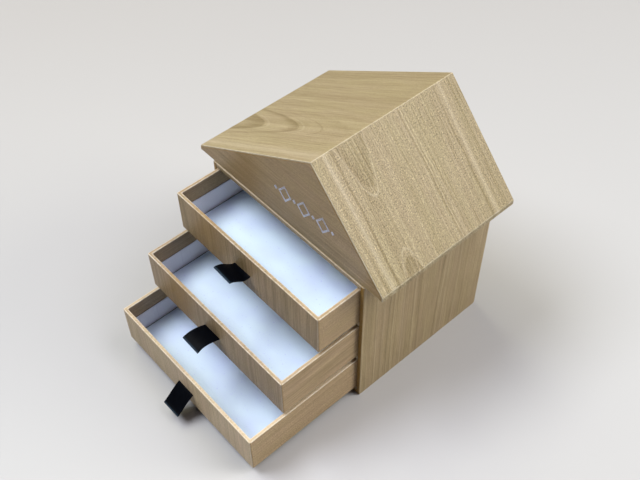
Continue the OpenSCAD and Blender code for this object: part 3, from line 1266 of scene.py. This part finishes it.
        # The cut edge and the sheet's sides go dark: partly the paper's cut edge, partly painted
        # shade.
        mark(mesh, edge["faces"], SEAM_AND_SHADE_MARK, self.cut_shade)
        mark(mesh, [f for f in mesh.faces if abs(f.normal.y) < 0.5], SEAM_AND_SHADE_MARK)
        shift = way.y * self.gable_shift
        lay_sheet(mesh, lambda middle, normal, at: (at.x, at.z - shift))
        Piece(f"{node}_sheet", "casing", "wood_paper", (node,)).made_of(mesh, self.gable)

    def underside(self) -> None:
        """Lays the sheet under the roof's flat floor, inside the turned-in edges."""
        mesh = Room.of("roof_underside_paper").within(self.under_tuck).block()
        lay_sheet(mesh, lambda middle, normal, at: (at.y, at.x))
        piece = Piece("roof_underside_sheet", "casing", "wood_paper", ("roof_underside_paper",))
        piece.made_of(mesh, self.gable)


@dataclass
class Ornament:
    """A row of plain silver lozenges on the front gable, open ones between small full ones."""

    middle: float = 22 * MM
    rise: float = 169.5 * MM
    pitch: float = 20 * MM
    open_half: tuple[float, float] = (7.2 * MM, 8.2 * MM)
    small_half: tuple[float, float] = (1.9 * MM, 2.2 * MM)
    stroke: float = 1.7 * MM
    foil: float = 0.04 * MM

    def build(self) -> None:
        """Presses the row on the gable's cover sheet."""
        ground = Room.of("front_gable_paper").low.y
        mesh = new_mesh()
        for i in range(-1, 2):
            self.lozenge(mesh, self.middle + i * self.pitch, self.open_half, self.stroke)
        for i in range(-2, 2):
            self.lozenge(mesh, self.middle + (i + 0.5) * self.pitch, self.small_half, 0.0)
        quarter = Matrix.Rotation(math.radians(90), 3, "X")
        bmesh.ops.rotate(mesh, verts=mesh.verts[:], matrix=quarter)
        pull_out(mesh, mesh.faces[:], -ALONG * self.foil)
        bmesh.ops.translate(mesh, verts=mesh.verts[:], vec=Vector((0.0, ground, self.rise)))
        bmesh.ops.recalc_face_normals(mesh, faces=mesh.faces[:])
        piece = Piece("gable_lozenges", "casing", "silver_foil")
        piece.made_of(mesh, SilverFoil("silver foil"))

    def lozenge(self, mesh: Mesh, x: float, half: tuple[float, float], stroke: float) -> None:
        """Adds one flat lozenge.

        Args:
            mesh: The mesh, still flat in x and y.
            x: Its middle.
            half: Half its width and half its height.
            stroke: The width of its line, or 0 for a full one.
        """
        place = Matrix.Translation((x, 0.0, 0.0)) @ Matrix.Diagonal((*half, 1.0, 1.0))
        made = bmesh.ops.create_circle(mesh, cap_ends=True, segments=4, radius=1.0, matrix=place)
        face = made["verts"][0].link_faces[0]
        if stroke:
            bmesh.ops.inset_region(
                mesh, faces=[face], thickness=stroke, use_even_offset=True, use_boundary=True
            )
            drop(mesh, [face])


# ---- The drawers ----


@dataclass(frozen=True)
class PullShape:
    """How one ribbon stands: its middle in x, and its slope at the slit, halfway and at the fold.

    Its twist at the fold is in degrees, and its sag is how far the right edge hangs down halfway.
    """

    middle: float
    slopes: tuple[float, float, float]
    twist: float
    sag: float = 0.0


class Level(Enum):
    """The three drawers, from top to bottom."""

    TOP = "top_drawer"
    MIDDLE = "middle_drawer"
    BOTTOM = "bottom_drawer"


PULLS = {
    Level.TOP: PullShape(-3 * MM, (8.0, 42.0, -5.0), -1.0, 3.2 * MM),
    Level.MIDDLE: PullShape(-1 * MM, (22.0, 12.0, -30.0), -3.0),
    Level.BOTTOM: PullShape(0.0, (-30.0, -42.0, -38.0), 2.0),
}
FOLD_TURNS = (-60, -30, 0, 30, 60)
SLIT_TURNS = (22.5, 45, 67.5, 90)


@dataclass
class Pull:
    """A loop of ribbon through a slit, with both tails glued behind it."""

    level: Level
    width: float = 18 * MM
    ribbon: float = 0.35 * MM
    loop: float = 21 * MM
    tail: float = 11 * MM
    slit_rise: float = 16.5 * MM
    loop_half: float = 0.1 * MM
    fold_half: float = 0.45 * MM
    fold_share: float = 0.16
    steps: int = 28
    tail_steps: int = 8
    turn: float = 0.26 * MM
    across: int = 10
    cup: float = 0.35 * MM

    def slope(self, share: float) -> float:
        """Gives the loop's slope.

        Args:
            share: The share of the loop's length, from the slit.

        Returns:
            The slope in radians.
        """
        first, half, last = PULLS[self.level].slopes
        angle = first * (1 - share) * (1 - 2 * share) + half * 4 * share * (1 - share)
        return math.radians(angle + last * share * (2 * share - 1))

    def gap(self, share: float) -> float:
        """Gives half the distance between the middles of the two plies.

        Args:
            share: The share of the loop's length, from the slit.

        Returns:
            The distance, which swells towards the fold.
        """
        late = max(0.0, share - 1 + self.fold_share) / self.fold_share
        swell = (1 - math.cos(math.pi * late)) / 2
        return self.loop_half + (self.fold_half - self.loop_half) * swell + self.ribbon / 2

    def loop_line(self) -> list[Vector]:
        """Walks the loop's middle line from the slit to the fold.

        Returns:
            The points, as distance out and height.
        """
        line = [Vector((0.0, 0.0))]
        for i in range(self.steps):
            angle = self.slope((i + 0.5) / self.steps)
            step = Vector((math.cos(angle), math.sin(angle))) * self.loop / self.steps
            line.append(line[-1] + step)
        return line

    def ply(self, side: float) -> list[Vector]:
        """Walks one ply from the slit to the fold.

        Args:
            side: 1 for the ply above the middle line, or -1 for the one below it.

        Returns:
            The points.
        """
        points = []
        for i, middle in enumerate(self.loop_line()):
            share = i / self.steps
            angle = self.slope(share)
            away = Vector((-math.sin(angle), math.cos(angle))) * side * self.gap(share)
            points.append(middle + away)
        return points

    def tail_line(self, side: float, wall: float) -> list[Vector]:
        """Walks one tail from its end up to the slit and out to the wall's face.

        Args:
            side: -1 for the lower ply, whose tail lies nearer the face, or 1 for the upper one.
            wall: How far in the tails lie.

        Returns:
            The points, without the one at the wall's face.
        """
        level = side * self.gap(0.0)
        depth = -(wall - self.ribbon * (1.0 - side / 2))
        foot = -self.gap(0.0) - self.ribbon / 2 - self.tail
        rise = level - self.turn - foot
        count = self.tail_steps
        tail = [Vector((depth, foot + rise * i / count)) for i in range(count + 1)]
        centre = Vector((depth + self.turn, level - self.turn))
        for a in (math.radians(turn) for turn in SLIT_TURNS):
            tail.append(centre + self.turn * Vector((-math.cos(a), math.sin(a))))
        return tail + [Vector((centre.x / 2, level))]

    def path(self, wall: float) -> list[Vector]:
        """Walks the whole ribbon from one tail's end to the other's.

        Args:
            wall: How far in the tails lie.

        Returns:
            The points.
        """
        tip = self.loop_line()[-1]
        angle = self.slope(1.0)
        turns = [angle + math.radians(a) for a in FOLD_TURNS]
        fold = [tip + Vector((math.cos(a), math.sin(a))) * self.gap(1.0) for a in turns]
        lower = self.tail_line(-1.0, wall) + self.ply(-1.0)
        upper = self.tail_line(1.0, wall) + self.ply(1.0)
        return lower + fold + upper[::-1]

    def build(self, tray: Room, front_board: Room) -> None:
        """Threads the ribbon through its slit.

        Args:
            tray: The drawer's room.
            front_board: Its front board's room.
        """
        path = self.path(front_board.high.y - tray.low.y)
        lengths = [0.0]
        for first, second in zip(path, path[1:]):
            lengths.append(lengths[-1] + (second - first).length)
        shape = PULLS[self.level]
        origin = Vector((shape.middle, tray.low.y, tray.low.z + self.slit_rise))
        mesh, count = new_mesh(), len(path) - 1
        bmesh.ops.create_grid(mesh, x_segments=count, y_segments=self.across, size=0.5)
        layer = mesh.loops.layers.uv[SHEET_MAP]
        spots = {vert: (round((vert.co.x + 0.5) * count), vert.co.y) for vert in mesh.verts}
        for face in mesh.faces:
            for loop in face.loops:
                step, side = spots[loop.vert]
                loop[layer].uv = lengths[step] - lengths[-1] / 2, side * self.width
        for vert, (step, side) in spots.items():
            out, rise = path[step]
            free = max(0.0, out / self.loop)
            bow = math.sin(math.pi * min(1.0, free))
            dip = -bow * (self.cup * (1 - 4 * side * side) + shape.sag * (side + 0.5) ** 2)
            lean = math.tan(math.radians(shape.twist)) * side * self.width * free
            vert.co = origin + Vector((side * self.width, -out, rise + dip + lean))
        bmesh.ops.recalc_face_normals(mesh, faces=mesh.faces[:])
        name = self.level.value
        ride = Piece(f"{name}_ribbon", name, "satin_ribbon", (f"{name}_pull",))
        ribbon = ride.made_of(mesh, SatinRibbon("satin ribbon"), thick=self.ribbon, offset=0.0)
        LOG.info("%s_ribbon is cut %.1f mm long", name, lengths[-1] / MM)


CARD = WhiteSheet("white card", seed=8.0)
LINING = WhiteSheet("white lining", (0.90, 0.905, 0.99), (0.80, 0.80, 0.90), seed=3.0)


@dataclass
class Drawer:
    """A tray with its wrap, its liner and the card on its floor."""

    level: Level
    front: WoodPaper
    side: WoodPaper
    wall: float = 3.0 * MM
    corner: float = 1.1 * MM
    rim: float = 0.55 * MM
    inner_corner: float = 0.9 * MM
    seam: tuple[float, float, float] = (0.55 * MM, 0.85 * MM, 1.15 * MM)
    seam_depth: float = 0.18 * MM
    # The pale bands at the rim's sides: partly wear, partly painted highlight.
    rim_wear_and_highlight_band: float = 0.25 * MM
    rim_middle: float = 0.12
    rim_side: float = 0.75
    seam_shade: float = 0.9
    inner_shade: float = 0.14
    slit_half: tuple[float, float] = (9.15 * MM, 0.6 * MM)
    lining: float = 0.5 * MM
    lining_corner: float = 0.8 * MM
    lining_wave: float = 0.12 * MM
    wave_turns: tuple[float, float] = (61.0, 83.0)
    wave_starts: tuple[float, float] = (90.0, 40.0)
    card_edge: float = 0.5 * MM
    card_bow: float = 0.3 * MM
    cuts: int = 23
    back_shift: float = 0.5
    left_shift: float = 0.7

    def __post_init__(self) -> None:
        """Reads the drawer's rooms from the frame."""
        self.name = self.level.value
        self.tray = Room.of(f"{self.name}_wrap")
        self.floor = Room.of(f"{self.name}_floor_board").high

    def build(self) -> None:
        """Makes the drawer's sheets and its pull."""
        self.wrap()
        self.liner()
        self.floor_card()
        Pull(self.level).build(self.tray, Room.of(f"{self.name}_front_board"))

    def wrap(self) -> None:
        """Folds the sheet round the tray, over its rim and down inside, and cuts the slit."""
        low, high = self.tray.low, self.tray.high
        mesh = self.tray.block()
        hollow = facing(mesh, UP)
        bmesh.ops.inset_region(mesh, faces=hollow, thickness=self.wall, use_even_offset=True)
        pull_out(mesh, hollow, UP * (self.floor.z - high.z))
        tidy(mesh)
        inner = self.tray.within(self.wall)
        for room, radius in ((self.tray, self.corner), (inner, self.inner_corner)):
            fold(mesh, upright(creases(mesh, room.corner)), radius)
        fold(mesh, creases(mesh, lambda p: near(p.z, high.z)), self.rim, share=1.0)
        fold(mesh, creases(mesh, lambda p: near(p.z, low.z)), self.rim)
        drop(mesh, flush(mesh, UP, self.floor))
        self.cut_slit(mesh)
        self.press_seam(mesh)
        self.wear_and_highlight_rim(mesh)
        core = self.tray.within(self.wall / 2)
        for face in mesh.faces:
            middle, normal = face.calc_center_median(), face.normal
            # Painted shade: the walls' inside faces are darkened a little.
            if abs(normal.z) < 0.1 and core.holds(middle):
                mark(mesh, [face], SEAM_AND_SHADE_MARK, self.inner_shade)
            face.material_index = int(self._on_side(middle, normal))
        lay_sheet(mesh, self.tray_chart)
        piece = Piece(f"{self.name}_sheet", self.name, "wood_paper", (f"{self.name}_wrap",))
        piece.made_of(mesh, self.front, self.side, thick=PAPER)

    def wear_and_highlight_rim(self, mesh: Mesh) -> None:
        """Makes both sides of the rim pale, and its middle less: partly wear, partly painted
        highlight.

        Args:
            mesh: The tray's mesh.
        """
        low, high = self.tray.low, self.tray.high
        outer, inner = self.rim + self.rim_wear_and_highlight_band, self.wall - self.rim - self.rim_wear_and_highlight_band
        # The first cuts part the rim's corners from its long strips.
        beyond = self.wall + 2 * MM
        for step in (beyond, inner, outer):
            room = self.tray.within(step)
            for corner in (room.low, room.high):
                for way in (ASIDE, ALONG):
                    score(mesh, flush(mesh, UP, high), corner, way)
        for face in flush(mesh, UP, high):
            middle = face.calc_center_median()
            edge = min(high.x - abs(middle.x), middle.y - low.y, high.y - middle.y)
            share = self.rim_middle if outer < edge < inner else self.rim_side
            mark(mesh, [face], BEND_MARK, share)

    def cut_slit(self, mesh: Mesh) -> None:
        """Cuts the ribbon's slit through the sheet on the drawer's face.

        Args:
            mesh: The tray's mesh.
        """
        low, (half_x, half_z) = self.tray.low, self.slit_half
        middle = Vector((PULLS[self.level].middle, low.y, low.z + Pull.slit_rise))
        for way, half in ((ASIDE, half_x), (UP, half_z)):
            for sign in (-1.0, 1.0):
                score(mesh, flush(mesh, -ALONG, low), middle + way * (sign * half), way)
        offs = {face: face.calc_center_median() - middle for face in flush(mesh, -ALONG, low)}
        drop(mesh, [f for f, off in offs.items() if abs(off.x) < half_x and abs(off.z) < half_z])

    def press_seam(self, mesh: Mesh) -> None:
        """Presses the line where the sheet's two ends meet, behind the right front corner.

        Args:
            mesh: The tray's mesh.
        """
        right = self.tray.high
        first, middle, last = (self.tray.low.y + step for step in self.seam)
        for y in (first, middle, last):
            score(mesh, flush(mesh, ASIDE, right), Vector((0.0, y, 0.0)), ALONG)
        for vert in mesh.verts:
            if near(vert.co.y, middle) and near(vert.co.x, right.x):
                vert.co.x -= self.seam_depth
        for face in mesh.faces:
            at = face.calc_center_median()
            if first < at.y < last and at.x > right.x - MM:
                mark(mesh, [face], SEAM_AND_SHADE_MARK, self.seam_shade)

    def _on_side(self, middle: Vector, normal: Vector) -> bool:
        """Tells whether a face belongs to the side sheets.

        Args:
            middle: Its middle.
            normal: Its normal.

        Returns:
            Whether it does.
        """
        if abs(normal.z) > 0.5:
            return middle.z < self.tray.low.z + MM
        return abs(normal.x) > abs(normal.y)

    def tray_chart(self, middle: Vector, normal: Vector, point: Vector) -> tuple[float, float]:
        """Lays the grain upright on the front and back, and level on the sides.

        The sheet runs on over the rim and down inside, so the print does too.

        Args:
            middle: A face's middle.
            normal: Its normal.
            point: One of its corners.

        Returns:
            The corner's place on the sheet.
        """
        low, high = self.tray.low, self.tray.high
        inside = self.tray.within(self.wall / 2).holds(middle)
        centre_y = (low.y + high.y) / 2
        from_edge_x = high.x - abs(point.x)
        from_edge_y = min(point.y - low.y, high.y - point.y)
        y = point.y - low.y
        if abs(normal.z) > MOSTLY and middle.z > low.z + MM:
            if from_edge_y < from_edge_x and from_edge_y < self.wall + MM:
                return high.z + from_edge_y, point.x
            return y, high.z + from_edge_x
        if normal.z < -MOSTLY:
            return y, point.x
        rise = (high.z + self.wall + high.z - point.z) if inside else point.z
        if abs(normal.y) > abs(normal.x):
            return rise, point.x + (self.back_shift if middle.y > centre_y else 0.0)
        return y, rise + (self.left_shift if middle.x < 0.0 else 0.0)

    def liner(self) -> None:
        """Stands the white band round the inside, its top edge not quite straight."""
        room = Room.of(f"{self.name}_liner")
        mesh = room.block()
        fold(mesh, upright(creases(mesh, room.corner)), self.lining_corner, 2)
        drop(mesh, facing(mesh, UP) + facing(mesh, -UP))
        long_edges = [e for e in mesh.edges if e.calc_length() > 100 * MM]
        bmesh.ops.subdivide_edges(mesh, edges=long_edges, cuts=self.cuts, use_grid_fill=True)
        turns, starts = self.wave_turns, self.wave_starts
        for vert in mesh.verts:
            if near(vert.co.z, room.high.z):
                wave = math.sin(vert.co.x * turns[0] + room.low.y * starts[0])
                wave += math.sin(vert.co.y * turns[1] + room.low.z * starts[1])
                vert.co.z += wave * self.lining_wave
        piece = Piece(f"{self.name}_lining", self.name, "white_paper", (f"{self.name}_liner",))
        piece.made_of(mesh, LINING, thick=self.lining)

    def floor_card(self) -> None:
        """Lays the card on the floor, bowed by less than half a millimetre."""
        room = Room.of(f"{self.name}_floor_card")
        mesh = room.plan(room.high.z)
        bmesh.ops.subdivide_edges(mesh, edges=mesh.edges[:], cuts=self.cuts, use_grid_fill=True)
        size, middle = room.high - room.low, (room.low + room.high) / 2
        for vert in mesh.verts:
            x, y = (vert.co.x - middle.x) / size.x, (vert.co.y - middle.y) / size.y
            vert.co.z += self.card_bow * (1 - 4 * x * x) * (1 - 4 * y * y)
        whole = mesh.faces[:]
        edge = bmesh.ops.inset_region(
            mesh, faces=whole, thickness=self.card_edge, use_even_offset=True, use_boundary=True
        )
        # Painted shade: the card's edge band is darkened for the shade in the gap beside the liner.
        mark(mesh, edge["faces"], SEAM_AND_SHADE_MARK)
        piece = Piece(f"{self.name}_card", self.name, "white_card", (f"{self.name}_floor_card",))
        piece.made_of(mesh, CARD, thick=size.z)


# Painted light and shade: the front papers are one print toned for the light on each front, darker
# and browner on the upper two, lighter on the bottom one for the light thrown up from the table,
# and darker towards the left on all three.
FRONTS = {
    Level.TOP: WoodPaper(
        "top front paper", (0.4, 0.286, 0.148), (0.4, 0.278, 0.155), threads=0.9, streaks=0.9,
        painted_shade=0.42, seed=61.0,
    ),
    Level.MIDDLE: WoodPaper(
        "middle front paper", (0.402, 0.295, 0.172), (0.402, 0.286, 0.179), threads=0.8,
        streaks=0.8, painted_shade=0.42, seed=73.0,
    ),
    Level.BOTTOM: WoodPaper(
        "bottom front paper", (0.61, 0.478, 0.295), (0.61, 0.466, 0.304), threads=0.45,
        streaks=0.4, seed=89.0, lines=(GrainLine(-75 * MM, 110 * MM, 0.17, depth=10 * MM),),
    ),
}
# Painted light: the side papers are one print toned for the light on each drawer, lighter on the
# lower two.
SIDES = {
    Level.TOP: WoodPaper(
        "top side paper", (0.455, 0.33, 0.183), (0.455, 0.321, 0.189), threads=0.55, fleck_and_glint=0.8,
        seed=90.0,
    ),
    Level.MIDDLE: WoodPaper(
        "middle side paper", (0.475, 0.341, 0.193), (0.475, 0.332, 0.2), threads=0.9,
        streaks=0.8, seed=101.0,
    ),
    Level.BOTTOM: WoodPaper(
        "bottom side paper", (0.48, 0.346, 0.193), (0.48, 0.336, 0.199), threads=0.5, fleck_and_glint=0.8,
        seed=112.0,
    ),
}


# ---- Table, light and camera ----


@dataclass(frozen=True)
class SoftBox:
    """A round light with a soft edge."""

    name: str
    place: tuple[float, float, float]
    power: float
    size: float = 1.5
    aim: tuple[float, float, float] = (0.0, -0.03, 0.1)
    colour: Colour = (1.0, 1.0, 1.0)

    def hang(self) -> None:
        """Hangs the light."""
        light = bpy.data.lights.new(self.name, "AREA")
        light.shape, light.size, light.energy = "DISK", self.size, self.power
        light.color = self.colour
        lamp = bpy.data.objects.new(self.name, light)
        lamp.location = self.place
        aim = Vector(self.aim) - Vector(self.place)
        lamp.rotation_euler = aim.to_track_quat("-Z", "Y").to_euler()
        bpy.context.scene.collection.objects.link(lamp)


@dataclass
class Studio:
    """The pale table, the soft lights and the camera."""

    azimuth: float = 48.673
    elevation: float = 49.454
    roll: float = -0.753
    place: tuple[float, float, float] = (350.002 * MM, -341.707 * MM, 635.688 * MM)
    lens: float = 50.976
    dome: Colour = (0.62, 0.6, 1.0)
    dome_strength: float = 0.035
    backdrop: Colour = (0.44, 0.43, 0.43)
    table_size: float = 4.4
    table_sides: int = 96
    sensor: float = 36.0
    clip: tuple[float, float] = (0.01, 50.0)
    lights: tuple[SoftBox, ...] = (
        SoftBox("overhead", (0.0, 0.0, 3.0), 10.0, colour=(1.0, 0.93, 0.97)),
        SoftBox("front left", (-1.06, -1.06, 2.6), 80.0, colour=(0.87, 0.9, 1.0)),
        SoftBox("left", (-1.5, 0.0, 2.6), 28.0, colour=(1.0, 0.98, 0.72)),
        SoftBox("back right", (1.06, 1.06, 2.6), 41.0, colour=(0.93, 0.91, 1.0)),
        SoftBox("low back right", (1.84, 1.84, 1.5), 48.0, colour=(1.0, 0.99, 0.87)),
    )

    def build(self) -> None:
        """Sets the table, hangs the lights and places the camera."""
        self.set_table()
        self.light()
        self.aim_camera()

    def set_table(self) -> None:
        """Lays the table top under the box."""
        mesh = bmesh.new()
        radius = self.table_size / 2
        bmesh.ops.create_circle(mesh, cap_ends=True, segments=self.table_sides, radius=radius)
        data = bpy.data.meshes.new("table_top")
        mesh.to_mesh(data)
        mesh.free()
        data.materials.append(TableTop("table top").material())
        table = bpy.data.objects.new("table_top", data)
        bpy.context.scene.collection.objects.link(table)

    def light(self) -> None:
        """Lights the scene from a dim dome and the soft boxes, before a plain backdrop."""
        world = bpy.data.worlds.new("studio")
        world.use_nodes = True
        nodes, links = world.node_tree.nodes, world.node_tree.links
        dome, backdrop = nodes["Background"], nodes.new("ShaderNodeBackground")
        dome.inputs["Color"].default_value = (*self.dome, 1.0)
        dome.inputs["Strength"].default_value = self.dome_strength
        backdrop.inputs["Color"].default_value = (*self.backdrop, 1.0)
        seen, choice = nodes.new("ShaderNodeLightPath"), nodes.new("ShaderNodeMixShader")
        links.new(seen.outputs["Is Camera Ray"], choice.inputs["Fac"])
        for socket, shader in ((choice.inputs[1], dome), (choice.inputs[2], backdrop)):
            links.new(shader.outputs["Background"], socket)
        links.new(choice.outputs["Shader"], nodes["World Output"].inputs["Surface"])
        bpy.context.scene.world = world
        for box in self.lights:
            box.hang()
        view = bpy.context.scene.view_settings
        view.view_transform, view.look, view.exposure, view.gamma = "Standard", "None", 0.0, 1.0

    def aim_camera(self) -> None:
        """Places the camera where the picture was taken from."""
        angles = (self.azimuth, self.elevation, self.roll)
        azimuth, elevation, roll = (math.radians(angle) for angle in angles)
        back = Vector((
            math.sin(azimuth) * math.cos(elevation),
            -math.cos(azimuth) * math.cos(elevation),
            math.sin(elevation),
        ))
        side = Vector((math.cos(azimuth), math.sin(azimuth), 0.0))
        up = back.cross(side)
        turned = math.cos(roll) * side + math.sin(roll) * up
        upright = -math.sin(roll) * side + math.cos(roll) * up
        lens = bpy.data.cameras.new("camera")
        lens.lens, lens.sensor_width, lens.sensor_fit = self.lens, self.sensor, "HORIZONTAL"
        lens.clip_start, lens.clip_end = self.clip
        camera = bpy.data.objects.new("camera", lens)
        turn = Matrix((turned, upright, back)).transposed().to_4x4()
        camera.matrix_world = Matrix.Translation(self.place) @ turn
        bpy.context.scene.collection.objects.link(camera)
        bpy.context.scene.camera = camera


def main() -> None:
    """Builds the box and its stage."""
    logging.basicConfig(level=logging.INFO, format="%(message)s")
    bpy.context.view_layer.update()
    boards = [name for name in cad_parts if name.endswith("_board") or name == "base_plate"]
    dress(boards, GreyBoard("grey board"))
    Studio().build()
    drawers = (Drawer(level, FRONTS[level], SIDES[level]) for level in Level)
    for part in (Casing(), Roof(), Ornament(), *drawers):
        part.build()
    bpy.context.view_layer.update()


if __name__ == "__main__":
    main()
